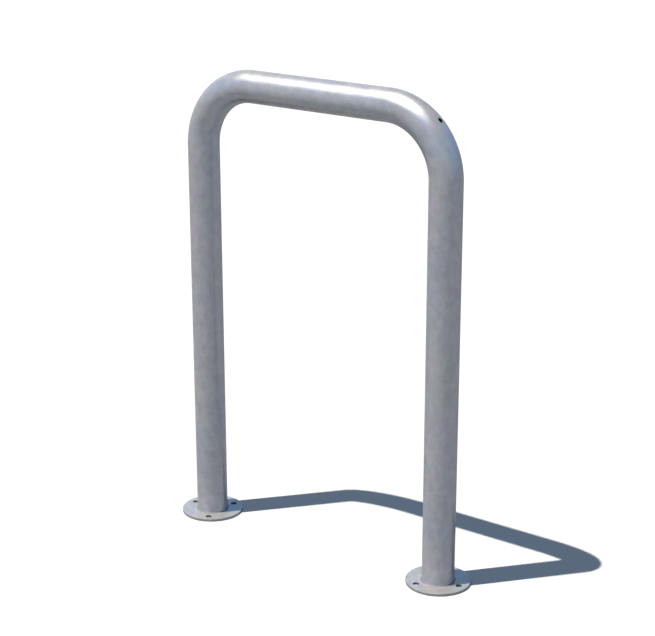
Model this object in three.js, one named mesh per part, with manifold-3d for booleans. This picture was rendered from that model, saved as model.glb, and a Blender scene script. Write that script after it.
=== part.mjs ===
// Hoop bike rack that bolts down to paving. One round steel tube is bent into an upright hoop.
// Each leg stands on a round base flange, is fillet-welded to it, and the whole is hot-dip galvanised.
// Millimetres, +Z up. The hoop lies in the XZ plane, and the origin is on the ground midway between its legs.
import * as THREE from "three";
import { mergeVertices } from "three/addons/utils/BufferGeometryUtils.js";
import Module from "manifold-3d";

// Driving dimensions of the hoop
const hoopHeight = 900; // ground to the top of the rail
const legSpacing = 540; // between the centres of the two legs
const bendRadius = 120; // of the tube's centreline, twice the tube's diameter
const tubeDiameter = 60;
const tubeWall = 3;

// Vent hole, drilled through the outer wall of the right bend so that zinc and air can pass
const ventDiameter = 8;
const ventAngle = THREE.MathUtils.degToRad(45); // along the bend, from its leg

// Base flanges, a flat disc under each leg
const flangeDiameter = 120;
const flangeThickness = 5;
const flangeEdge = 0.5; // softening of every cut edge
const drainDiameter = 40; // under the tube's bore, where the zinc runs out

// Anchor holes, evenly spaced round the leg, with one straight outwards from the hoop
const anchorCount = 3;
const anchorDiameter = 12;

// Fillet weld between a leg and its flange
const weldLeg = 2; // up the tube, and across the flange
const weldToe = 0.4; // thickness at its two edges
const weldCrown = 0.25; // bulge of its face
const weldClearance = 0.3; // between the bead and the round of the tube

// How finely the round shapes are divided
const tubeSides = 48;
const bendSteps = 16;
const flangeSides = 72;
const anchorSides = 24;
const drainSides = 36;
const ventSides = 20;
const weldFaceSteps = 5;
const cutOverrun = 2; // how far a cutter stands past the wall that it cuts

// Worked out from the above
const tubeRadius = tubeDiameter / 2;
const boreRadius = tubeRadius - tubeWall;
const legX = legSpacing / 2;
const railZ = hoopHeight - tubeRadius;
const bendCentreX = legX - bendRadius;
const bendCentreZ = railZ - bendRadius;
const anchorCircle = (tubeDiameter + flangeDiameter) / 2; // midway over the ring of plate round the tube
const quarterTurn = Math.PI / 2;
const fullTurn = 2 * Math.PI;

const tubeZinc = new THREE.MeshStandardMaterial({ color: 0x8d8e94, roughness: 0.5, metalness: 0.55 });
const plateZinc = new THREE.MeshStandardMaterial({ color: 0xa9a9ac, roughness: 0.55, metalness: 0.5 });
const weldZinc = new THREE.MeshStandardMaterial({ color: 0x96979b, roughness: 0.6, metalness: 0.5 });

const wasm = await Module();
wasm.setup();

// Centreline of the tube from the left foot, up, over and down to the right foot. Even steps along it are one for
// each straight length and bendSteps for each bend, so that the sections fall where the bends start and end.
class HoopCentreline extends THREE.Curve {
  steps = 2 * bendSteps + 3;

  // Where the step number falls on the left half, as a point and a direction.
  leftHalf(step) {
    if (step <= 1) {
      const height = THREE.MathUtils.lerp(flangeThickness, bendCentreZ, step);
      return [new THREE.Vector3(-legX, 0, height), new THREE.Vector3(0, 0, 1)];
    }
    const turn = Math.min((step - 1) / bendSteps, 1) * quarterTurn;
    const along = new THREE.Vector3(Math.sin(turn), 0, Math.cos(turn));
    const point = new THREE.Vector3(-Math.cos(turn), 0, Math.sin(turn)).multiplyScalar(bendRadius);
    point.add(new THREE.Vector3(-bendCentreX, 0, bendCentreZ));
    const railShare = 2 * Math.max(step - 1 - bendSteps, 0);
    point.x += railShare * bendCentreX;
    return [point, along];
  }

  pointAndDirection(share) {
    const step = share * this.steps;
    if (step <= this.steps / 2) return this.leftHalf(step);
    const [point, along] = this.leftHalf(this.steps - step);
    return [point.setX(-point.x), along.setZ(-along.z)];
  }

  getPoint(share, target = new THREE.Vector3()) {
    return target.copy(this.pointAndDirection(share)[0]);
  }

  getTangent(share, target = new THREE.Vector3()) {
    return target.copy(this.pointAndDirection(share)[1]);
  }

  getPointAt(share, target) {
    return this.getPoint(share, target);
  }

  getTangentAt(share, target) {
    return this.getTangent(share, target);
  }
}

function circle(radius, sides, Kind = THREE.Path, centre = new THREE.Vector2()) {
  const points = [];
  for (let i = 0; i < sides; i++) {
    const angle = (i / sides) * fullTurn;
    points.push(new THREE.Vector2(Math.cos(angle), Math.sin(angle)).multiplyScalar(radius).add(centre));
  }
  return new Kind(points);
}

function toSolid(geometry) {
  const bare = new THREE.BufferGeometry().setAttribute("position", geometry.getAttribute("position"));
  if (geometry.index) bare.setIndex(geometry.index);
  const merged = mergeVertices(bare);
  const mesh = new wasm.Mesh({
    numProp: 3,
    vertProperties: merged.attributes.position.array,
    triVerts: new Uint32Array(merged.index.array),
  });
  return new wasm.Manifold(mesh);
}

function toGeometry(solid) {
  const { vertProperties, triVerts } = solid.getMesh();
  return new THREE.BufferGeometry()
    .setAttribute("position", new THREE.BufferAttribute(vertProperties, 3))
    .setIndex(new THREE.BufferAttribute(triVerts, 1))
    .toNonIndexed();
}

// The bent tube, open at both feet, before it is drilled
function sweptTube() {
  const section = circle(tubeRadius, tubeSides, THREE.Shape);
  section.holes.push(circle(boreRadius, tubeSides));
  const extrudePath = new HoopCentreline();
  return new THREE.ExtrudeGeometry(section, { extrudePath, steps: extrudePath.steps });
}

// A drill that starts in the bore of the right bend and goes out through its outer wall
function ventDrill() {
  const length = tubeRadius + cutOverrun;
  const drill = new THREE.CylinderGeometry(ventDiameter / 2, ventDiameter / 2, length, ventSides);
  drill.rotateZ(-quarterTurn);
  drill.translate(bendRadius + length / 2, 0, 0);
  drill.rotateY(-ventAngle);
  drill.translate(bendCentreX, 0, bendCentreZ);
  return drill;
}

function hoopTube() {
  const drilled = toSolid(sweptTube()).subtract(toSolid(ventDrill()));
  const geometry = toGeometry(drilled);
  geometry.computeVertexNormals();
  return geometry;
}

// The disc on the ground under a leg, centred on the leg, with its first anchor hole towards +X
function baseFlange() {
  const outline = circle(flangeDiameter / 2, flangeSides, THREE.Shape);
  outline.holes.push(circle(drainDiameter / 2, drainSides));
  for (let i = 0; i < anchorCount; i++) {
    const angle = (i / anchorCount) * fullTurn;
    const centre = new THREE.Vector2(Math.cos(angle), Math.sin(angle)).multiplyScalar(anchorCircle / 2);
    outline.holes.push(circle(anchorDiameter / 2, anchorSides, THREE.Path, centre));
  }
  const geometry = new THREE.ExtrudeGeometry(outline, {
    depth: flangeThickness - 2 * flangeEdge,
    bevelThickness: flangeEdge,
    bevelSize: flangeEdge,
    bevelOffset: -flangeEdge,
    bevelSegments: 1,
  });
  return geometry.translate(0, 0, flangeEdge);
}

// The ring of weld metal in the corner between the tube and the flange, with its foot at height zero
function footWeld() {
  const inner = tubeRadius + weldClearance;
  const outer = inner + weldLeg;
  const flangeEdgePoint = new THREE.Vector2(outer, weldToe);
  const tubeEdgePoint = new THREE.Vector2(inner + weldToe, weldLeg);
  const crown = new THREE.Vector2(1, 1).normalize().multiplyScalar(2 * weldCrown);
  const middle = flangeEdgePoint.clone().add(tubeEdgePoint).divideScalar(2).add(crown);
  const face = new THREE.QuadraticBezierCurve(flangeEdgePoint, middle, tubeEdgePoint);
  const profile = [
    new THREE.Vector2(inner, 0),
    new THREE.Vector2(outer, 0),
    ...face.getPoints(weldFaceSteps),
    new THREE.Vector2(inner, weldLeg),
    new THREE.Vector2(inner, 0),
  ];
  return new THREE.LatheGeometry(profile, tubeSides).rotateX(quarterTurn);
}

const rack = new THREE.Group();

function place(name, geometry, material, x = 0, z = 0, turn = 0) {
  const mesh = new THREE.Mesh(geometry, material);
  mesh.name = name;
  mesh.position.set(x, 0, z);
  mesh.rotation.z = turn;
  rack.add(mesh);
}

place("hoop_tube", hoopTube(), tubeZinc);
const feet = [
  { side: "left", x: -legX, turn: Math.PI },
  { side: "right", x: legX, turn: 0 },
];
for (const { side, x, turn } of feet) {
  place(`${side}_base_flange`, baseFlange(), plateZinc, x, 0, turn);
  place(`${side}_foot_weld`, footWeld(), weldZinc, x, flangeThickness, turn);
}

export default rack;
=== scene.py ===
"""Looks of the hoop bike rack: a bent zinc-coated tube on two base flanges, its foot welds, floor and lights.

Metres, +Z up, in the frame's own place. The hoop lies in the XZ plane, and the origin is on the ground,
midway between its legs.
"""

import math
from typing import NamedTuple

import bmesh
import bpy
from bpy.props import FloatProperty, FloatVectorProperty, IntProperty, PointerProperty
from bpy.types import Operator, Panel, PropertyGroup
from mathutils import Matrix, Vector


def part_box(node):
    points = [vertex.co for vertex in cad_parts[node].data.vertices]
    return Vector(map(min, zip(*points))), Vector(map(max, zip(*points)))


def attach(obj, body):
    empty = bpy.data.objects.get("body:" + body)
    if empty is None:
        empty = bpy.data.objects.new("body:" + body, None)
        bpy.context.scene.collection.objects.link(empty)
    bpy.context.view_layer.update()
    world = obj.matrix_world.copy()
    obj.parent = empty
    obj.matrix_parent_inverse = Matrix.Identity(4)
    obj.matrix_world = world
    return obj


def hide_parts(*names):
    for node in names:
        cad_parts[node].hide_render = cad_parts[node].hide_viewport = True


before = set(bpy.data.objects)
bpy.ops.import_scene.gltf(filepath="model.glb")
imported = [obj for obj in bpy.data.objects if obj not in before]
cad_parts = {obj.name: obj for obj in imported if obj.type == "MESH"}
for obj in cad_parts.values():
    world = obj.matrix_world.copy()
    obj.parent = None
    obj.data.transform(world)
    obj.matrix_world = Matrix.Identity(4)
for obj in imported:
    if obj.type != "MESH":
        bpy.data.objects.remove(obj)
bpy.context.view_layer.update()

bl_info = {
    "name": "Hoop Bike Rack",
    "version": (1, 0, 0),
    "blender": (4, 5, 0),
    "location": "View3D > Sidebar > Hoop Rack",
    "description": "Builds a galvanised hoop bike rack and the studio floor that it stands on",
    "category": "Object",
}

tube_low, tube_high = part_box("hoop_tube")
flange_low, flange_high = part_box("right_base_flange")
weld_low, weld_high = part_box("right_foot_weld")
tube_across = tube_high.y - tube_low.y
flange_across = flange_high.x - flange_low.x

BODY = "root"
MILLIMETRE = 0.001
QUARTER_TURN = math.pi / 2
FULL_TURN = 2 * math.pi
WHITE = (1.0, 1.0, 1.0)
EDGE_STEPS = 3  # faces across a rounded edge

# What a mesh keeps at its corners or faces for the materials to read
ALONG_TUBE = "along_tube"  # length from the left foot, as the third part of a vector
ROUND_TUBE = "round_tube"  # place in the tube's round section
PAINTED_SHADE = "painted_shade"  # share of painted shade, which darkens the zinc and takes away its gloss: from 0 outside to 1 in the bore and on the vent's wall

# Hoop
VENT_RING = 4  # square ring of grid corners that becomes the vent's edge
PATCH_RING = 12  # and the one from which the grid stays as it is
VENT_PAINTED_SHADE = 0.7  # strength of the painted shade next to the vent's mouth, which makes the hole look wider and darker, where it is darkest
VENT_SHADE_WAY = Vector((-0.8, -0.6))  # from the vent's middle down the bend and to the front

# Flanges
RIM_SIDES = 180
DRAIN_SIDES = 72
ANCHOR_SIDES = 48
PLATE_SHARE = 0.9  # of the radius, within which a cut face belongs to a hole and not to the rim
HOLE_PAINTED_SHADE = 0.55  # painted shade on the walls of the drain and anchor holes, less than in the bore, because the holes are shallow
# painted shade on the plate's outer edge
RIM_PAINTED_SHADE = 0.22
EDGE_ANGLE = math.radians(50)  # edges that turn more than this are rounded

# Welds. Shifts along the bead are counted in ripples
WELD_BITE = 0.1 * MILLIMETRE  # how far the bead reaches into the tube's wall
BEAD_SIDES = 32
BEAD_FULLNESS = 1.6  # 2 is a flat face from toe to toe, 1 a quarter round
BEAD_UNEVENNESS = 0.4 * MILLIMETRE  # most that the bead falls short in reach and in height
SLUMP_SCALE = 7.0  # lumps in the bead's reach, to each radius of its ring
WANDER_SCALE = 2.5  # and in its height and its ripples' spacing
RIPPLE_STEPS = 8  # faces along each ripple
RIPPLE_WANDER = 1.6  # how far a ripple strays from even spacing
RIPPLE_BOW = 0.55  # how far a ripple's middle runs ahead of its ends
TOE_FADE = 4.0  # how soon a ripple is at full depth, away from its ends
CLOSING_GAP = 0.005 * MILLIMETRE  # corners closer than this become one
CREASE_ANGLE = math.radians(60)  # edges that turn more than this stay sharp

# Zinc. A pattern's scale is how many of its cells go to a metre
PATTERN_STRETCH = 0.7  # scale of the patches along the tube, where they are longest
DRIFT_SCALE = 12.0
PATCH_SCALE = 54.0
CLOUD_SCALE = 86.0
SPANGLE_SCALE = 140.0
GRAIN_SCALE = 420.0
HUE_STOPS = (0.38, 0.47, 0.54, 0.62)  # mean of drift and patches where it is cool, plain, warm and lilac
EVEN_TONE = 0.68  # brightness of the coat before its patterns add to it
CLOUD_TONE = 0.48
SPANGLE_TONE = 0.05
GRAIN_TONE = 0.07
DRIFT_TONE = 0.04
SPANGLE_ROUGHNESS = 0.05  # how much the dullest crystal adds
WAVE_SCALE, WAVE_DEPTH = 60.0, 0.3 * MILLIMETRE  # slow relief of the coat
PEEL_SCALE, PEEL_DEPTH = 900.0, 0.12 * MILLIMETRE  # and its fine relief

# Studio. A height in the sky is the sine of its angle above the horizon
SENSOR_WIDTH = 36.0  # in millimetres, as the lens is
FLOOR_SIDES = 96
SUN_ANGLE = math.radians(0.53)
BACKDROP_TOP, PALE_SKY, BLUE_SKY, HIGH_SKY = (math.sin(math.radians(rise)) for rise in (9, 23, 27, 54))
FAR_BLUE_START, FAR_BLUE_END, FAR_HIGH_SKY = (math.sin(math.radians(rise)) for rise in (13, 24, 36))
SIDE_LIGHT_END, TOP_LIGHT_START = (math.sin(math.radians(rise)) for rise in (30, 50))
SIDE_BLEND = 2.5  # how fast the near sky turns into the far one, to the left and right of the rack
GLARE_SOFTNESS = math.radians(2.7)  # half the width of the haze's soft edge
SUN_VEIL = 4.9  # power of the cosine by which the blue pales towards the sun
SUN_SPREAD = 1.4  # power of the cosine by which the glow fades away from the sun
RIGHT_SPREAD = 4.0  # power of the cosine by which the bright sky on the right fades round its middle


class HoopTubeSizes(PropertyGroup):
    """Sizes of the bent tube."""

    height: FloatProperty(
        name="Height", description="From the ground to the top of the rail",
        default=tube_high.z, min=0.3, max=1.5, subtype="DISTANCE", unit="LENGTH",
    )
    leg_spacing: FloatProperty(
        name="Leg Spacing", description="Between the centres of the two legs",
        default=tube_high.x - tube_low.x - tube_across, min=0.3, max=2.0,
        subtype="DISTANCE", unit="LENGTH",
    )
    diameter: FloatProperty(
        name="Diameter", description="Outside diameter of the tube",
        default=tube_across, min=0.03, max=0.1, subtype="DISTANCE", unit="LENGTH",
    )
    wall: FloatProperty(
        name="Wall", description="Thickness of the tube's wall",
        default=0.003, min=0.001, max=0.01, subtype="DISTANCE", unit="LENGTH",
    )
    bend_radius: FloatProperty(
        name="Bend Radius", description="Of the tube's centreline in both bends",
        default=2 * tube_across, min=0.05, max=0.3, subtype="DISTANCE", unit="LENGTH",
    )
    sides: IntProperty(
        name="Sides", description="Corners of the tube's round section", default=96, min=16, max=256,
    )
    bend_steps: IntProperty(name="Bend Steps", description="Rings in each bend", default=96, min=8, max=256)


class VentSizes(PropertyGroup):
    """Sizes of the hole through which the right bend let out air and zinc."""

    diameter: FloatProperty(
        name="Diameter", description="Of the drilled hole",
        default=0.008, min=0.004, max=0.02, subtype="DISTANCE", unit="LENGTH",
    )
    angle: FloatProperty(
        name="Angle", description="Place of the hole along the bend, up from its leg",
        default=math.radians(45), min=0.2, max=1.3, subtype="ANGLE", unit="ROTATION",
    )
    lip: FloatProperty(
        name="Lip", description="Rounding that the zinc leaves on the hole's edge",
        default=0.00015, min=0.0001, max=0.002, subtype="DISTANCE", unit="LENGTH",
    )


class FlangeSizes(PropertyGroup):
    """Sizes of the two base flanges."""

    diameter: FloatProperty(
        name="Diameter", description="Of the round plate",
        default=flange_across, min=0.06, max=0.3, subtype="DISTANCE", unit="LENGTH",
    )
    thickness: FloatProperty(
        name="Thickness", description="Of the plate",
        default=flange_high.z - flange_low.z, min=0.002, max=0.02, subtype="DISTANCE", unit="LENGTH",
    )
    edge: FloatProperty(
        name="Edge", description="Rounding of every cut edge",
        default=0.0002, min=0.0001, max=0.002, subtype="DISTANCE", unit="LENGTH",
    )
    drain: FloatProperty(
        name="Drain", description="Diameter of the hole under the tube's bore",
        default=0.04, min=0.01, max=0.08, subtype="DISTANCE", unit="LENGTH",
    )
    anchors: IntProperty(
        name="Anchor Holes", description="Spaced evenly round the leg", default=3, min=2, max=8,
    )
    anchor_diameter: FloatProperty(
        name="Anchor Diameter", description="Of each anchor hole",
        default=0.012, min=0.006, max=0.02, subtype="DISTANCE", unit="LENGTH",
    )
    anchor_circle: FloatProperty(
        name="Anchor Circle", description="Diameter of the circle through the anchor holes' centres",
        default=(tube_across + flange_across) / 2, min=0.05, max=0.25, subtype="DISTANCE", unit="LENGTH",
    )


class WeldSizes(PropertyGroup):
    """Sizes of the bead between a leg and its flange."""

    across: FloatProperty(
        name="Across", description="Diameter of the bead's foot on the flange",
        default=weld_high.x - weld_low.x, min=0.03, max=0.15, subtype="DISTANCE", unit="LENGTH",
    )
    height: FloatProperty(
        name="Height", description="Of the bead up the tube",
        default=weld_high.z - weld_low.z, min=0.001, max=0.01, subtype="DISTANCE", unit="LENGTH",
    )
    ripple_pitch: FloatProperty(
        name="Ripple Pitch", description="Between the ripples that the weld pool left",
        default=0.0022, min=0.001, max=0.01, subtype="DISTANCE", unit="LENGTH",
    )
    ripple_depth: FloatProperty(
        name="Ripple Depth", description="From the crest of a ripple to its foot",
        default=0.0003, min=0.0, max=0.001, subtype="DISTANCE", unit="LENGTH",
    )


class ZincColours(PropertyGroup):
    """Colours of the zinc coat, which drift from one to the next in soft clouds."""

    warm: FloatVectorProperty(
        name="Warm Grey", description="Warmest clouds of the tube's zinc",
        default=(0.512, 0.540, 0.565), size=3, min=0.0, max=1.0, subtype="COLOR",
    )
    plain: FloatVectorProperty(
        name="Plain Grey", description="Most of the tube's zinc",
        default=(0.500, 0.526, 0.578), size=3, min=0.0, max=1.0, subtype="COLOR",
    )
    cool: FloatVectorProperty(
        name="Cool Grey", description="Coolest clouds of the tube's zinc",
        default=(0.472, 0.515, 0.602), size=3, min=0.0, max=1.0, subtype="COLOR",
    )
    lilac: FloatVectorProperty(
        name="Lilac Grey", description="Clouds with a breath of lilac",
        default=(0.520, 0.508, 0.610), size=3, min=0.0, max=1.0, subtype="COLOR",
    )
    plate_tone: FloatVectorProperty(
        name="Plate Tone", description="Colour of the flanges' zinc as a multiple of the tube's",
        default=(1.015, 0.97, 0.915), size=3, min=0.0, max=2.0, subtype="COLOR",
    )
    # Painted shade: the welds are made darker than the tube, standing for the shade in the crevice at the
    # foot of the leg
    weld_painted_shade_tone: FloatVectorProperty(
        name="Weld Tone", description="Colour of the welds' zinc as a multiple of the tube's",
        default=(0.53, 0.53, 0.52), size=3, min=0.0, max=2.0, subtype="COLOR",
    )
    # Painted shade: the tone to which the zinc is darkened in the bore, on the vent's wall and on the
    # flanges' cut walls
    painted_hole_shade: FloatProperty(
        name="Hole Shade", description="Tone of the dull zinc in the bore and on the walls of the holes",
        default=0.03, min=0.0, max=1.0, subtype="FACTOR",
    )


class StudioSettings(PropertyGroup):
    """Camera, floor, sun and sky."""

    camera_turn: FloatProperty(
        name="Camera Turn", description="Round the rack, from straight in front towards +X",
        default=math.radians(36.5124), subtype="ANGLE", unit="ROTATION",
    )
    camera_rise: FloatProperty(
        name="Camera Rise", description="Above the horizon, as seen from the rack",
        default=math.radians(17.8922), subtype="ANGLE", unit="ROTATION",
    )
    camera_roll: FloatProperty(
        name="Camera Roll", description="About the line of sight",
        default=math.radians(-0.0902), subtype="ANGLE", unit="ROTATION",
    )
    camera_distance: FloatProperty(
        name="Camera Distance", description="From the point aimed at",
        default=3.08037, subtype="DISTANCE", unit="LENGTH",
    )
    camera_aim: FloatVectorProperty(
        name="Camera Aim", description="Point in the hoop's plane that the camera looks at",
        default=(0.018702, 0.0, 0.460479), size=3, subtype="XYZ", unit="LENGTH",
    )
    lens: FloatProperty(
        name="Lens", description="Focal length in millimetres",
        default=92.205, min=10.0, max=300.0, unit="CAMERA",
    )
    sun_turn: FloatProperty(
        name="Sun Turn", description="Round the rack, from straight in front towards -X",
        default=math.radians(39.8), subtype="ANGLE", unit="ROTATION",
    )
    sun_rise: FloatProperty(
        name="Sun Rise", description="Above the horizon",
        default=math.radians(69.6), subtype="ANGLE", unit="ROTATION",
    )
    sun_strength: FloatProperty(
        name="Sun Strength", description="At pi, a white face square to the sun is just white",
        default=math.pi, min=0.0, max=10.0,
    )
    sun_colour: FloatVectorProperty(
        name="Sun Colour", description="Slightly warm",
        default=(1.10, 1.0, 0.87), size=3, min=0.0, max=2.0, subtype="COLOR",
    )
    glare: FloatProperty(
        name="Glare", description="Brightness of the haze round the sun, as glossy surfaces show it",
        default=6.0, min=0.0, max=20.0,
    )
    glare_angle: FloatProperty(
        name="Glare Angle", description="From the sun to the haze's edge",
        default=math.radians(29.4), subtype="ANGLE", unit="ROTATION",
    )
    glare_colour: FloatVectorProperty(
        name="Glare Colour", description="Of the haze round the sun",
        default=(1.20, 1.19, 1.0), size=3, min=0.0, max=2.0, subtype="COLOR",
    )
    glow_colour: FloatVectorProperty(
        name="Glow Colour", description="Of the wide glow round the haze, as glossy surfaces show it",
        default=(0.60, 0.46, 0.78), size=3, min=0.0, max=2.0, subtype="COLOR",
    )
    pale_colour: FloatVectorProperty(
        name="Pale Colour", description="Sky low above the white backdrop, as glossy surfaces show it",
        default=(0.37, 0.98, 1.0), size=3, min=0.0, max=2.0, subtype="COLOR",
    )
    blue_colour: FloatVectorProperty(
        name="Blue Colour", description="Sky above the pale one, as glossy surfaces show it",
        default=(0.31, 0.56, 1.0), size=3, min=0.0, max=2.0, subtype="COLOR",
    )
    top_colour: FloatVectorProperty(
        name="Top Colour", description="Sky straight above, as glossy surfaces show it",
        default=(0.055, 0.20, 0.12), size=3, min=0.0, max=1.0, subtype="COLOR",
    )
    far_blue_colour: FloatVectorProperty(
        name="Far Blue Colour",
        description="Sky behind the rack, above the backdrop, as glossy surfaces show it",
        default=(0.0, 0.65, 1.42), size=3, min=0.0, max=2.0, subtype="COLOR",
    )
    far_top_colour: FloatVectorProperty(
        name="Far Top Colour", description="High sky behind the rack, as glossy surfaces show it",
        default=(0.25, 0.15, 0.0), size=3, min=0.0, max=1.0, subtype="COLOR",
    )
    right_colour: FloatVectorProperty(
        name="Right Colour", description="Added by the bright sky on the right, as glossy surfaces show it",
        default=(0.05, 0.14, 0.38), size=3, min=0.0, max=2.0, subtype="COLOR",
    )
    right_turn: FloatProperty(
        name="Right Turn",
        description="Middle of the bright sky on the right, from straight in front towards +X",
        default=math.radians(115), subtype="ANGLE", unit="ROTATION",
    )
    right_rise: FloatProperty(
        name="Right Rise", description="Middle of the bright sky on the right, above the horizon",
        default=math.radians(25), subtype="ANGLE", unit="ROTATION",
    )
    side_light: FloatVectorProperty(
        name="Side Light", description="Soft light from near the horizon",
        default=(0.085, 0.14, 0.30), size=3, min=0.0, max=1.0, subtype="COLOR",
    )
    top_light: FloatVectorProperty(
        name="Top Light", description="Soft light from straight above",
        default=(0.121, 0.142, 0.125), size=3, min=0.0, max=1.0, subtype="COLOR",
    )
    floor_colour: FloatVectorProperty(
        name="Floor Colour",
        description="Of the floor as the camera and glosses see it, a little cool against the warm sun",
        default=(0.95, 1.0, 1.03), size=3, min=0.0, max=2.0, subtype="COLOR",
    )
    floor_bounce: FloatVectorProperty(
        name="Floor Bounce", description="Colour of the floor in the light that it sends back up to the rack",
        default=(0.14, 0.122, 0.105), size=3, min=0.0, max=1.0, subtype="COLOR",
    )
    floor_reach: FloatProperty(
        name="Floor Reach", description="Radius of the floor",
        default=60.0, min=5.0, max=500.0, subtype="DISTANCE", unit="LENGTH",
    )


class HoopRackSettings(PropertyGroup):
    """Everything that can be set on the rack and its studio."""

    tube: PointerProperty(type=HoopTubeSizes)
    vent: PointerProperty(type=VentSizes)
    flange: PointerProperty(type=FlangeSizes)
    weld: PointerProperty(type=WeldSizes)
    zinc: PointerProperty(type=ZincColours)
    studio: PointerProperty(type=StudioSettings)


class Field:
    """An output of a node, which adds, multiplies and compares as a plain number does."""

    def __init__(self, nodes, socket):
        self.nodes = nodes
        self.socket = socket

    def maths(self, operation, *values):
        return self.nodes.field("ShaderNodeMath", *values, operation=operation)

    def __add__(self, other):
        return self.maths("ADD", self, other)

    def __radd__(self, other):
        return self.maths("ADD", other, self)

    def __sub__(self, other):
        return self.maths("SUBTRACT", self, other)

    def __rsub__(self, other):
        return self.maths("SUBTRACT", other, self)

    def __mul__(self, other):
        return self.maths("MULTIPLY", self, other)

    def __rmul__(self, other):
        return self.maths("MULTIPLY", other, self)

    def __truediv__(self, other):
        return self.maths("DIVIDE", self, other)

    def __pow__(self, other):
        return self.maths("POWER", self, other)

    def __lt__(self, other):
        return self.maths("LESS_THAN", self, other)

    def at_least(self, other):
        return self.maths("MAXIMUM", self, other)

    def at_most(self, other):
        return self.maths("MINIMUM", self, other)

    def clamped(self):
        return self.at_least(0.0).at_most(1.0)

    def fraction(self):
        return self.maths("FRACT", self)

    def sine(self):
        return self.maths("SINE", self)

    def cosine(self):
        return self.maths("COSINE", self)


class Nodes:
    """Fills a node tree. Inputs are given in order or by name, as values or as outputs of other nodes."""

    def __init__(self, tree):
        self.tree = tree
        tree.nodes.clear()

    def node(self, kind, *values, inputs=None, **settings):
        made = self.tree.nodes.new(kind)
        for name, value in settings.items():
            setattr(made, name, value)
        wanted = {**dict(enumerate(values)), **(inputs or {})}
        for key, value in wanted.items():
            socket = made.inputs[key]
            if isinstance(value, Field):
                value = value.socket
            if isinstance(value, bpy.types.NodeSocket):
                self.tree.links.new(value, socket)
            else:
                socket.default_value = value
        return made

    def field(self, kind, *values, inputs=None, output=0, **settings):
        return Field(self, self.node(kind, *values, inputs=inputs, **settings).outputs[output])

    def vector_maths(self, operation, *values, output=0, **inputs):
        return self.field("ShaderNodeVectorMath", *values, inputs=inputs, output=output, operation=operation)


class ShapeNodes(Nodes):
    """A geometry node tree with named inputs, which ends in a plain mesh of one material."""

    SOCKETS = {float: "NodeSocketFloat", int: "NodeSocketInt", bpy.types.Material: "NodeSocketMaterial"}

    def __init__(self, name, sizes):
        super().__init__(bpy.data.node_groups.new(name, "GeometryNodeTree"))
        self.sizes = sizes
        for label, value in sizes.items():
            self.tree.interface.new_socket(label, in_out="INPUT", socket_type=self.SOCKETS[type(value)])
        self.tree.interface.new_socket("Geometry", in_out="OUTPUT", socket_type="NodeSocketGeometry")
        self.given = self.node("NodeGroupInput")

    def size(self, label):
        return Field(self, self.given.outputs[label])

    def point(self, x=0.0, y=0.0, z=0.0):
        return self.field("ShaderNodeCombineXYZ", x, y, z)

    def flat(self, place):
        """A place brought down to the ground."""
        return self.vector_maths("MULTIPLY", place, (1.0, 1.0, 0.0))

    def circle(self, radius, sides):
        return self.field("GeometryNodeCurvePrimitiveCircle", inputs={"Radius": radius, "Resolution": sides})

    def stored(self, shape, name, value):
        """The shape with a vector kept at each of its points under a name that a material can read."""
        return self.field(
            "GeometryNodeStoreNamedAttribute", shape, data_type="FLOAT_VECTOR",
            inputs={"Name": name, "Value": value},
        )

    def join(self, *shapes):
        joined = self.node("GeometryNodeJoinGeometry")
        for shape in shapes:
            self.tree.links.new(shape.socket, joined.inputs[0])
        return Field(self, joined.outputs[0])

    def at_leg(self, shape):
        """A shape made round the origin, turned and brought to the leg that it belongs to."""
        place = self.point(self.size("Leg Place"))
        turn = self.point(z=self.size("Turn"))
        return self.field("GeometryNodeTransform", shape, inputs={"Translation": place, "Rotation": turn})

    def finish(self, shape):
        real = self.field("GeometryNodeRealizeInstances", shape)
        zinced = self.field("GeometryNodeSetMaterial", real, inputs={"Material": self.size("Zinc")})
        self.node("NodeGroupOutput", zinced)

    def plain_piece(self, name):
        """A piece at the origin with the mesh that the tree makes, and no modifier."""
        piece = bpy.data.objects.new(name, bpy.data.meshes.new(name))
        bpy.context.scene.collection.objects.link(piece)
        modifier = piece.modifiers.new(self.tree.name, "NODES")
        modifier.node_group = self.tree
        for socket in self.tree.interface.items_tree:
            if socket.in_out == "INPUT":
                modifier[socket.identifier] = self.sizes[socket.name]
        view = bpy.context.evaluated_depsgraph_get()
        mesh = bpy.data.meshes.new_from_object(piece.evaluated_get(view), depsgraph=view)
        piece.modifiers.clear()
        piece.data = mesh
        mesh.name = name
        if not mesh.polygons:
            raise RuntimeError(f"{name} has no faces")
        return piece


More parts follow.
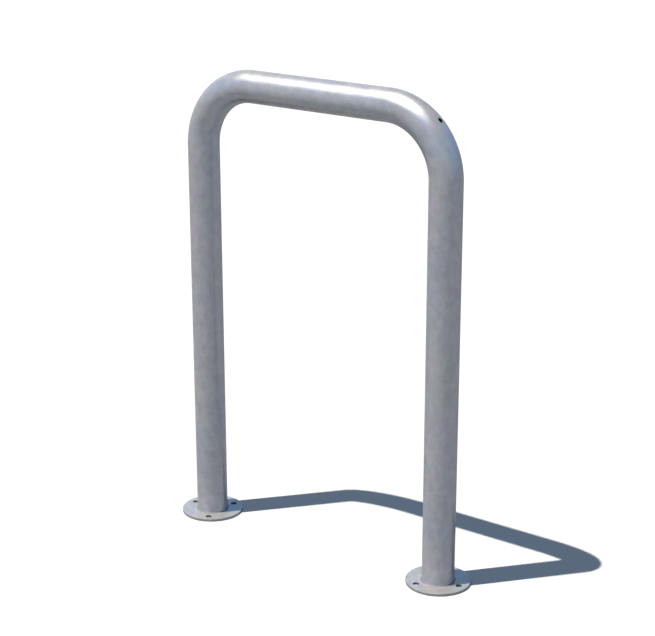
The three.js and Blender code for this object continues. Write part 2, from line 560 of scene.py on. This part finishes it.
class SurfaceNodes(Nodes):
    """A material's or a world's node tree."""

    def kept(self, name, output):
        """What the mesh keeps under a name."""
        return self.field("ShaderNodeAttribute", attribute_name=name, output=output)

    def noise(self, place, scale, **inputs):
        return self.field("ShaderNodeTexNoise", place, inputs={"Scale": scale, **inputs})

    def ramp(self, share, stops):
        """Colours blended along a share of 0 to 1, from pairs of a place and a colour."""
        made = self.node("ShaderNodeValToRGB", share)
        elements = made.color_ramp.elements
        while len(elements) < len(stops):
            elements.new(1.0)
        for element, (place, colour) in zip(elements, stops):
            element.position = place
            element.color = (*colour, 1.0)
        return Field(self, made.outputs["Color"])

    def scaled(self, colour, share):
        return self.vector_maths("SCALE", colour, Scale=share)

    def bump(self, height, depth, below=None):
        """Relief of a height of 0 to 1 that stands for a depth in metres, on top of the relief below."""
        inputs = {"Height": height, "Distance": depth, "Strength": 1.0}
        if below:
            inputs["Normal"] = below
        return self.field("ShaderNodeBump", inputs=inputs)

    def seen(self):
        """1 for what the camera, a gloss or a clear material sees, and 0 for light on a dull surface."""
        rays = self.node("ShaderNodeLightPath")
        camera, glossy, clear = (
            Field(self, rays.outputs[f"Is {kind} Ray"]) for kind in ("Camera", "Glossy", "Transmission")
        )
        return (camera + glossy + clear).at_most(1.0)

    def blend(self, share, first, second):
        """From the first colour at a share of 0 to the second at 1."""
        mixer = self.node("ShaderNodeMix", data_type="RGBA")
        sockets = [s for s in mixer.inputs if s.enabled]
        for socket, value in zip(sockets, (share, first, second)):
            if isinstance(value, Field):
                self.tree.links.new(value.socket, socket)
            else:
                socket.default_value = (*value, 1.0)
        return Field(self, next(s for s in mixer.outputs if s.enabled))


class Finish(NamedTuple):
    """How a kind of piece took the zinc."""

    metal_share: float  # of the coat that shines as bare zinc does, where the rest has a dull bloom
    roughness: float
    edge: float  # strength of the gloss at a grazing angle
    follows: tuple = ()  # names of the vectors that add up to the pattern's place, if not the object's own


TUBE_FINISH = Finish(0.28, 0.285, 0.8, (ALONG_TUBE, ROUND_TUBE))
PLATE_FINISH = Finish(0.34, 0.295, 1.0)
WELD_FINISH = Finish(0.15, 0.50, 0.7)


def zinc_material(name, colours, tone, finish):
    """Hot-dip zinc with patches of warm, cool and lilac grey, a faint spangle and a fine grain, darkened and
    without gloss where the mesh keeps painted shade.
    """
    material = bpy.data.materials.new(name)
    material.use_nodes = True
    nodes = SurfaceNodes(material.node_tree)
    place = nodes.field("ShaderNodeTexCoord", output="Object")
    if finish.follows:
        place = nodes.vector_maths("ADD", *(nodes.kept(vector, "Vector") for vector in finish.follows))
    long = nodes.field("ShaderNodeMapping", place, inputs={"Scale": (1.0, 1.0, PATTERN_STRETCH)})

    drift = nodes.noise(long, DRIFT_SCALE, Detail=2.0)
    patches = nodes.noise(long, PATCH_SCALE, Detail=3.0, Roughness=0.6, Distortion=0.3)
    hue = 0.5 * drift + 0.5 * patches
    hues = (colours.cool, colours.plain, colours.warm, colours.lilac)
    colour = nodes.ramp(hue, tuple(zip(HUE_STOPS, hues)))
    colour = nodes.vector_maths("MULTIPLY", colour, tuple(tone))
    clouds = nodes.noise(long, CLOUD_SCALE, Detail=3.0, Roughness=0.6)
    grain = nodes.noise(place, GRAIN_SCALE, Detail=2.0)
    crystals = nodes.field(
        "ShaderNodeTexVoronoi", place, inputs={"Scale": SPANGLE_SCALE, "Randomness": 1.0}, output="Color",
    )
    spangle = nodes.field("ShaderNodeSeparateColor", crystals)
    shade = EVEN_TONE + CLOUD_TONE * clouds + SPANGLE_TONE * spangle + GRAIN_TONE * grain + DRIFT_TONE * drift
    # Painted shade kept by the mesh darkens the colour towards the hole shade's tone, and takes the metal's
    # gloss away
    painted_shade = nodes.kept(PAINTED_SHADE, "Fac")
    shade = shade * (1.0 - (1.0 - colours.painted_hole_shade) * painted_shade)
    unshaded = 1.0 - painted_shade

    wave = nodes.bump(nodes.noise(long, WAVE_SCALE, Detail=2.0), WAVE_DEPTH)
    peel = nodes.bump(nodes.noise(place, PEEL_SCALE, Detail=2.0), PEEL_DEPTH, below=wave)

    shader = nodes.node(
        "ShaderNodeBsdfPrincipled",
        inputs={
            "Base Color": nodes.scaled(colour, shade),
            "Metallic": finish.metal_share * unshaded,
            "Roughness": finish.roughness + SPANGLE_ROUGHNESS * spangle,
            "Specular IOR Level": 0.0,
            "Specular Tint": (finish.edge, finish.edge, finish.edge, 1.0),
            "Normal": peel,
        },
    )
    nodes.node("ShaderNodeOutputMaterial", shader.outputs[0])
    return material


def dress(piece, slot, *cad_nodes):
    """Gives a finished piece its body and hides the CAD nodes that it stands for. Its slot is not used."""
    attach(piece, BODY)
    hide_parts(*cad_nodes)


def round_edges(piece, width, **limits):
    bevel = piece.modifiers.new("Rounded Edges", "BEVEL")
    bevel.width = width
    bevel.segments = EDGE_STEPS
    bevel.harden_normals = True
    for name, value in limits.items():
        setattr(bevel, name, value)


def tube_tree(tube, zinc):
    """Both skins of the tube, swept along the hoop's path. The feet and the vent are still open."""
    radius = tube.diameter / 2
    nodes = ShapeNodes("Hoop Tube", {
        "Half Spacing": tube.leg_spacing / 2,
        "Foot Height": tube_low.z,
        "Rail Height": tube.height - radius,
        "Bend Radius": tube.bend_radius,
        "Bend Steps": tube.bend_steps,
        "Outer Radius": radius,
        "Bore Radius": radius - tube.wall,
        "Sides": tube.sides,
        "Zinc": zinc,
    })
    right, foot, rail = (nodes.size(label) for label in ("Half Spacing", "Foot Height", "Rail Height"))
    left = 0.0 - right
    corners = [nodes.point(x, z=z) for x, z in ((left, foot), (left, rail), (right, rail), (right, foot))]
    path = nodes.field(
        "GeometryNodeCurvePrimitiveQuadrilateral", mode="POINTS",
        inputs={f"Point {i + 1}": corner for i, corner in enumerate(corners)},
    )
    path = nodes.field("GeometryNodeSetSplineCyclic", path, inputs={"Cyclic": False})
    path = nodes.field(
        "GeometryNodeFilletCurve", path, mode="POLY",
        inputs={"Count": nodes.size("Bend Steps"), "Radius": nodes.size("Bend Radius")},
    )
    length = nodes.field("GeometryNodeSplineParameter", output="Length")
    path = nodes.stored(path, ALONG_TUBE, nodes.point(z=length))
    skins = []
    for label in ("Outer Radius", "Bore Radius"):
        section = nodes.circle(nodes.size(label), nodes.size("Sides"))
        section = nodes.stored(section, ROUND_TUBE, nodes.field("GeometryNodeInputPosition"))
        skins.append(nodes.field("GeometryNodeCurveToMesh", path, inputs={"Profile Curve": section}))
    bore = nodes.field("GeometryNodeFlipFaces", skins[1])
    nodes.finish(nodes.join(skins[0], bore))
    return nodes


def turn_on_ring(rings, sides):
    """Angle round the vent of a grid corner, which spreads a square ring of corners evenly round a circle."""
    eighth = FULL_TURN / 8
    if abs(rings) >= abs(sides):
        return eighth * sides / rings + (math.pi if rings < 0 else 0.0)
    return QUARTER_TURN - eighth * rings / sides + (math.pi if sides < 0 else 0.0)


def open_vent(shape, tube, vent):
    """Draws the grid of both skins in to the vent's circle, on a straight drill from the bend's centre, and
    paints shade on the zinc on the lower side of its mouth."""
    rail_height = tube.height - tube.diameter / 2
    bend_centre = Vector((tube.leg_spacing / 2 - tube.bend_radius, 0, rail_height - tube.bend_radius))
    drill = Vector((math.cos(vent.angle), 0, math.sin(vent.angle)))
    along = Vector((-drill.z, 0, drill.x))
    across = Vector((0, 1, 0))
    painted_shade = shape.verts.layers.float.new(PAINTED_SHADE)
    length = shape.verts.layers.float_vector[ALONG_TUBE]
    section = shape.verts.layers.float_vector[ROUND_TUBE]
    within_rim = []
    for corner in shape.verts:
        spot = corner.co - bend_centre
        reach = math.hypot(spot.x, spot.z) - tube.bend_radius
        if min(spot.x, spot.z, reach) <= 0:
            continue
        angle = math.atan2(spot.z, spot.x)
        rings = round((angle - vent.angle) / (QUARTER_TURN / tube.bend_steps))
        sides = round(math.atan2(spot.y, reach) / (FULL_TURN / tube.sides))
        ring = max(abs(rings), abs(sides))
        if ring < VENT_RING:
            within_rim.append(corner)
        elif ring < PATCH_RING:
            turn = turn_on_ring(rings, sides)
            way = Vector((math.cos(turn), math.sin(turn)))
            # Painted shade on the ring next to the vent's mouth, strongest on its lower front side
            if ring == VENT_RING + 1:
                corner[painted_shade] = VENT_PAINTED_SHADE * max(way.dot(VENT_SHADE_WAY), 0.0)
            # Seen along the drill, the corner moves from its old place towards the vent's circle
            rim = way * vent.diameter / 2
            share = (ring - VENT_RING) / (PATCH_RING - VENT_RING)
            flat = rim.lerp(Vector((spot.dot(along), spot.y)), share)
            # It stays on the skin that it came from, and its pattern moves with it
            skin = math.hypot(reach, spot.y)
            crown = tube.bend_radius + math.sqrt(skin**2 - flat.y**2)
            height = math.sqrt(crown**2 - flat.x**2)
            moved = along * flat.x + across * flat.y + drill * height
            corner.co = bend_centre + moved
            turned = angle - math.atan2(moved.z, moved.x)
            corner[length] = corner[length] + Vector((0, 0, tube.bend_radius * turned))
            corner[section] = Vector((tube.bend_radius - math.hypot(moved.x, moved.z), moved.y, 0))
    bmesh.ops.delete(shape, geom=within_rim, context="VERTS")


def close_openings(shape, tube):
    """Joins the outer skin to the bore at both feet and in the vent, marks the vent's edges for rounding, and
    paints shade on the zinc of the bore and of the vent's wall."""
    rounding = shape.edges.layers.float.new("bevel_weight_edge")
    painted_shade = shape.verts.layers.float[PAINTED_SHADE]
    loops = {"left foot": [], "right foot": [], "vent": []}
    for edge in shape.edges:
        if not edge.is_boundary:
            continue
        middle = (edge.verts[0].co + edge.verts[1].co) / 2
        if middle.z > tube.height / 2:
            loops["vent"].append(edge)
            edge[rounding] = 1.0
        else:
            loops["left foot" if middle.x < 0 else "right foot"].append(edge)
            edge.smooth = False
    for edges in loops.values():
        bmesh.ops.bridge_loops(shape, edges=edges)
    bmesh.ops.recalc_face_normals(shape, faces=shape.faces)
    section = shape.verts.layers.float_vector[ROUND_TUBE]
    middle_of_wall = (tube.diameter - tube.wall) / 2
    vent_corners = {corner for edge in loops["vent"] for corner in edge.verts}
    # Painted shade at full strength on the bore and on the vent's wall
    for corner in shape.verts:
        if corner in vent_corners or corner[section].length < middle_of_wall:
            corner[painted_shade] = 1.0


class HOOPRACK_OT_tube(Operator):
    """Makes the bent tube with its bore and vent hole."""

    bl_idname = "hoop_rack.tube"
    bl_label = "Hoop Tube"

    def execute(self, context):
        rack = context.scene.hoop_rack
        zinc = zinc_material("Tube Zinc", rack.zinc, WHITE, TUBE_FINISH)
        piece = tube_tree(rack.tube, zinc).plain_piece("hoop")
        shape = bmesh.new()
        shape.from_mesh(piece.data)
        open_vent(shape, rack.tube, rack.vent)
        close_openings(shape, rack.tube)
        for face in shape.faces:
            face.smooth = True
        shape.to_mesh(piece.data)
        shape.free()
        round_edges(piece, rack.vent.lip, limit_method="WEIGHT")
        dress(piece, "tube_zinc", "hoop_tube")
        return {"FINISHED"}


def feet(tube):
    """Each side of the rack, with the place of its leg and the turn of its flange and weld."""
    leg = tube.leg_spacing / 2
    return ("left", -leg, math.pi), ("right", leg, 0.0)


def flange_tree(flange, x, turn, zinc):
    """A round plate with a drain hole and a ring of anchor holes, the first of them towards +X at no turn."""
    nodes = ShapeNodes("Base Flange", {
        "Leg Place": x,
        "Turn": turn,
        "Radius": flange.diameter / 2,
        "Thickness": flange.thickness,
        "Drain Radius": flange.drain / 2,
        "Anchor Holes": flange.anchors,
        "Anchor Circle Radius": flange.anchor_circle / 2,
        "Anchor Radius": flange.anchor_diameter / 2,
        "Zinc": zinc,
    })
    rim = nodes.circle(nodes.size("Radius"), RIM_SIDES)
    drain = nodes.circle(nodes.size("Drain Radius"), DRAIN_SIDES)
    spots = nodes.circle(nodes.size("Anchor Circle Radius"), nodes.size("Anchor Holes"))
    hole = nodes.circle(nodes.size("Anchor Radius"), ANCHOR_SIDES)
    holes = nodes.field("GeometryNodeInstanceOnPoints", spots, inputs={"Instance": hole})
    holes = nodes.field("GeometryNodeRealizeInstances", holes)
    face = nodes.field("GeometryNodeFillCurve", nodes.join(rim, drain, holes), mode="NGONS")
    plate = nodes.node(
        "GeometryNodeExtrudeMesh", face,
        inputs={"Offset Scale": nodes.size("Thickness"), "Individual": False},
    )
    place = nodes.field("GeometryNodeInputPosition")
    # Painted shade on the plate's cut walls, stronger in the holes than on the outer edge
    from_middle = nodes.vector_maths("LENGTH", nodes.flat(place), output="Value")
    on_hole = from_middle < PLATE_SHARE * nodes.size("Radius")
    painted_shade_share = RIM_PAINTED_SHADE + (HOLE_PAINTED_SHADE - RIM_PAINTED_SHADE) * on_hole
    painted_shade_share = painted_shade_share * Field(nodes, plate.outputs["Side"])
    walled = nodes.field(
        "GeometryNodeStoreNamedAttribute", plate.outputs["Mesh"], data_type="FLOAT", domain="FACE",
        inputs={"Name": PAINTED_SHADE, "Value": painted_shade_share},
    )
    under = nodes.field("GeometryNodeFlipFaces", face)
    solid = nodes.field("GeometryNodeMergeByDistance", nodes.join(walled, under))
    nodes.finish(nodes.at_leg(solid))
    return nodes


class HOOPRACK_OT_flanges(Operator):
    """Makes the two base flanges, the left one turned half round."""

    bl_idname = "hoop_rack.flanges"
    bl_label = "Base Flanges"

    def execute(self, context):
        rack = context.scene.hoop_rack
        zinc = zinc_material("Plate Zinc", rack.zinc, rack.zinc.plate_tone, PLATE_FINISH)
        for side, x, turn in feet(rack.tube):
            piece = flange_tree(rack.flange, x, turn, zinc).plain_piece(f"{side}_flange")
            piece.data.shade_smooth()
            round_edges(piece, rack.flange.edge, limit_method="ANGLE", angle_limit=EDGE_ANGLE)
            dress(piece, "flange_zinc", f"{side}_base_flange")
        return {"FINISHED"}


def weld_tree(weld, tube, x, turn, zinc):
    """A fillet bead round the foot of a leg, with overlapping ripples that bow the way it was laid."""
    foot_radius = tube.diameter / 2 - WELD_BITE
    ripples = round(math.pi * weld.across / weld.ripple_pitch)
    nodes = ShapeNodes("Foot Weld", {
        "Leg Place": x,
        "Turn": turn,
        "Foot Height": weld_low.z,
        "Tube Radius": foot_radius,
        "Reach": weld.across / 2 - foot_radius,
        "Height": weld.height,
        "Ripples": ripples,
        "Ripple Steps": ripples * RIPPLE_STEPS + 1,
        "Ripple Depth": weld.ripple_depth,
        "Unevenness": BEAD_UNEVENNESS,
        "Zinc": zinc,
    })
    grid = nodes.node("GeometryNodeMeshGrid", inputs={
        "Size X": 1.0,
        "Size Y": 1.0,
        "Vertices X": nodes.size("Ripple Steps"),
        "Vertices Y": BEAD_SIDES + 1,
    })
    spot = nodes.node("ShaderNodeSeparateXYZ", nodes.field("GeometryNodeInputPosition"))
    round_leg = Field(nodes, spot.outputs["X"]) + 0.5
    round_bead = Field(nodes, spot.outputs["Y"]) + 0.5
    leg_angle = FULL_TURN * round_leg
    bead_angle = FULL_TURN * round_bead
    outwards = bead_angle.cosine().at_least(0.0)
    upwards = bead_angle.sine().at_least(0.0)

    ring = nodes.point(leg_angle.cosine(), leg_angle.sine())
    wander = nodes.field("ShaderNodeTexNoise", ring, inputs={"Scale": WANDER_SCALE, "Detail": 2.0})
    slump = nodes.field("ShaderNodeTexNoise", ring, inputs={"Scale": SLUMP_SCALE, "Detail": 1.0})
    bow = 8 * round_bead - 1  # -1 at the toe on the flange and 1 at the toe on the tube
    crest = (nodes.size("Ripples") * round_leg + RIPPLE_BOW * bow * bow + RIPPLE_WANDER * wander).fraction()
    groove = (2 * crest - 1) ** 2
    on_face = (TOE_FADE * outwards * upwards).at_most(1.0)
    sunk = groove * on_face * nodes.size("Ripple Depth")
    widest = nodes.size("Reach") - slump * nodes.size("Unevenness")
    highest = nodes.size("Height") - wander * nodes.size("Unevenness")
    reach = widest * outwards**BEAD_FULLNESS - sunk * outwards
    rise = highest * upwards**BEAD_FULLNESS - sunk * upwards
    radius = nodes.size("Tube Radius") + reach
    place = nodes.point(
        radius * leg_angle.cosine(), radius * leg_angle.sine(), nodes.size("Foot Height") + rise,
    )
    bead = nodes.field("GeometryNodeSetPosition", grid.outputs["Mesh"], inputs={"Position": place})
    closed = nodes.field("GeometryNodeMergeByDistance", bead, inputs={"Distance": CLOSING_GAP})
    nodes.finish(nodes.at_leg(closed))
    return nodes


class HOOPRACK_OT_welds(Operator):
    """Makes the fillet welds that join the legs to their flanges."""

    bl_idname = "hoop_rack.welds"
    bl_label = "Foot Welds"

    def execute(self, context):
        rack = context.scene.hoop_rack
        # The weld's zinc is darkened as painted crevice shade
        zinc = zinc_material("Weld Zinc", rack.zinc, rack.zinc.weld_painted_shade_tone, WELD_FINISH)
        for side, x, turn in feet(rack.tube):
            piece = weld_tree(rack.weld, rack.tube, x, turn, zinc).plain_piece(f"{side}_weld")
            shape = bmesh.new()
            shape.from_mesh(piece.data)
            bmesh.ops.recalc_face_normals(shape, faces=shape.faces)
            shape.to_mesh(piece.data)
            shape.free()
            piece.data.shade_smooth()
            piece.data.set_sharp_from_angle(angle=CREASE_ANGLE)
            dress(piece, "weld_zinc", f"{side}_foot_weld")
        return {"FINISHED"}


def from_angles(turn, rise):
    """Direction from the rack, turned from straight in front towards +X and raised above the horizon."""
    return Vector((math.sin(turn) * math.cos(rise), -math.cos(turn) * math.cos(rise), math.sin(rise)))


def make_camera(studio):
    camera = bpy.data.objects.new("Camera", bpy.data.cameras.new("Camera"))
    bpy.context.scene.collection.objects.link(camera)
    camera.data.lens = studio.lens
    camera.data.sensor_width = SENSOR_WIDTH
    back = from_angles(studio.camera_turn, studio.camera_rise)
    camera.location = Vector(studio.camera_aim) + back * studio.camera_distance
    level = back.to_track_quat("Z", "Y")
    camera.rotation_mode = "QUATERNION"
    camera.rotation_quaternion = level @ Matrix.Rotation(studio.camera_roll, 3, "Z").to_quaternion()
    bpy.context.scene.camera = camera


def make_sun(studio):
    lamp = bpy.data.lights.new("Sun", "SUN")
    lamp.energy = studio.sun_strength
    lamp.color = studio.sun_colour
    lamp.angle = SUN_ANGLE
    sun = bpy.data.objects.new("Sun", lamp)
    bpy.context.scene.collection.objects.link(sun)
    sun.rotation_mode = "QUATERNION"
    sun.rotation_quaternion = from_angles(-studio.sun_turn, studio.sun_rise).to_track_quat("Z", "Y")


def make_sky(studio):
    """A white backdrop under a blue sky for the camera and glosses, and a dimmer light for dull surfaces."""
    world = bpy.data.worlds.new("Sky")
    world.use_nodes = True
    world.cycles.sampling_method = "NONE"
    nodes = SurfaceNodes(world.node_tree)
    direction = nodes.field("ShaderNodeTexCoord", output="Generated")
    rise = nodes.field("ShaderNodeSeparateXYZ", direction, output="Z")
    near_sky = nodes.ramp(rise, (
        (BACKDROP_TOP, WHITE), (PALE_SKY, studio.pale_colour),
        (BLUE_SKY, studio.blue_colour), (HIGH_SKY, studio.top_colour),
    ))
    far_sky = nodes.ramp(rise, (
        (BACKDROP_TOP, WHITE), (FAR_BLUE_START, studio.far_blue_colour),
        (FAR_BLUE_END, studio.far_blue_colour), (FAR_HIGH_SKY, studio.far_top_colour),
    ))

    def cosine_from(turn, rise):
        return nodes.vector_maths("DOT_PRODUCT", direction, from_angles(turn, rise), output="Value")

    far_share = (0.5 - SIDE_BLEND * cosine_from(studio.camera_turn, 0.0)).clamped()
    shown = nodes.blend(far_share, near_sky, far_sky)
    light = nodes.ramp(rise, ((SIDE_LIGHT_END, studio.side_light), (TOP_LIGHT_START, studio.top_light)))
    near_sun = cosine_from(-studio.sun_turn, studio.sun_rise)
    outer, inner = (math.cos(studio.glare_angle + side * GLARE_SOFTNESS) for side in (1, -1))
    haze = ((near_sun - outer) / (inner - outer)).clamped()
    towards_sun = near_sun.at_least(0.0)
    towards_right = cosine_from(studio.right_turn, studio.right_rise).at_least(0.0)
    shown = nodes.scaled(shown, 1.0 - towards_sun**SUN_VEIL)
    for colour, share in (
        (studio.glare_colour, studio.glare * haze),
        (studio.glow_colour, towards_sun**SUN_SPREAD),
        (studio.right_colour, towards_right**RIGHT_SPREAD),
    ):
        shown = nodes.vector_maths("ADD", shown, nodes.scaled(colour, share))
    background = nodes.node("ShaderNodeBackground", nodes.blend(nodes.seen(), light, shown))
    nodes.node("ShaderNodeOutputWorld", background.outputs[0])
    bpy.context.scene.world = world


def make_floor(studio):
    """A plain white floor that keeps the rack's shadow, and sends little light back up to the rack."""
    shape = bmesh.new()
    bmesh.ops.create_circle(shape, cap_ends=True, segments=FLOOR_SIDES, radius=studio.floor_reach)
    floor = bpy.data.objects.new("Floor", bpy.data.meshes.new("Floor"))
    shape.to_mesh(floor.data)
    shape.free()
    bpy.context.scene.collection.objects.link(floor)
    material = bpy.data.materials.new("Floor")
    material.use_nodes = True
    nodes = SurfaceNodes(material.node_tree)
    colour = nodes.blend(nodes.seen(), studio.floor_bounce, studio.floor_colour)
    diffuse = nodes.node("ShaderNodeBsdfDiffuse", colour)
    nodes.node("ShaderNodeOutputMaterial", diffuse.outputs[0])
    floor.data.materials.append(material)


class HOOPRACK_OT_studio(Operator):
    """Makes the camera, the floor, the sun and the sky."""

    bl_idname = "hoop_rack.studio"
    bl_label = "Studio"

    def execute(self, context):
        studio = context.scene.hoop_rack.studio
        make_camera(studio)
        make_floor(studio)
        make_sky(studio)
        make_sun(studio)
        context.scene.view_settings.view_transform = "Standard"
        return {"FINISHED"}


class VIEW3D_PT_hoop_rack(Panel):
    """Sizes, colours and steps of the hoop rack."""

    bl_label = "Hoop Rack"
    bl_space_type = "VIEW_3D"
    bl_region_type = "UI"
    bl_category = "Hoop Rack"

    def draw(self, context):
        rack = context.scene.hoop_rack
        for group, step in (
            (rack.tube, HOOPRACK_OT_tube),
            (rack.vent, None),
            (rack.flange, HOOPRACK_OT_flanges),
            (rack.weld, HOOPRACK_OT_welds),
            (rack.zinc, None),
            (rack.studio, HOOPRACK_OT_studio),
        ):
            box = self.layout.box()
            for name in group.bl_rna.properties.keys():
                if name not in ("name", "rna_type"):
                    box.prop(group, name)
            if step:
                box.operator(step.bl_idname)


CLASSES = (
    HoopTubeSizes,
    VentSizes,
    FlangeSizes,
    WeldSizes,
    ZincColours,
    StudioSettings,
    HoopRackSettings,
    HOOPRACK_OT_tube,
    HOOPRACK_OT_flanges,
    HOOPRACK_OT_welds,
    HOOPRACK_OT_studio,
    VIEW3D_PT_hoop_rack,
)


def register():
    for made in CLASSES:
        bpy.utils.register_class(made)
    bpy.types.Scene.hoop_rack = PointerProperty(type=HoopRackSettings)


def unregister():
    del bpy.types.Scene.hoop_rack
    for made in reversed(CLASSES):
        bpy.utils.unregister_class(made)


def main():
    register()
    bpy.ops.hoop_rack.tube()
    bpy.ops.hoop_rack.flanges()
    bpy.ops.hoop_rack.welds()
    bpy.ops.hoop_rack.studio()


if __name__ == "__main__":
    main()
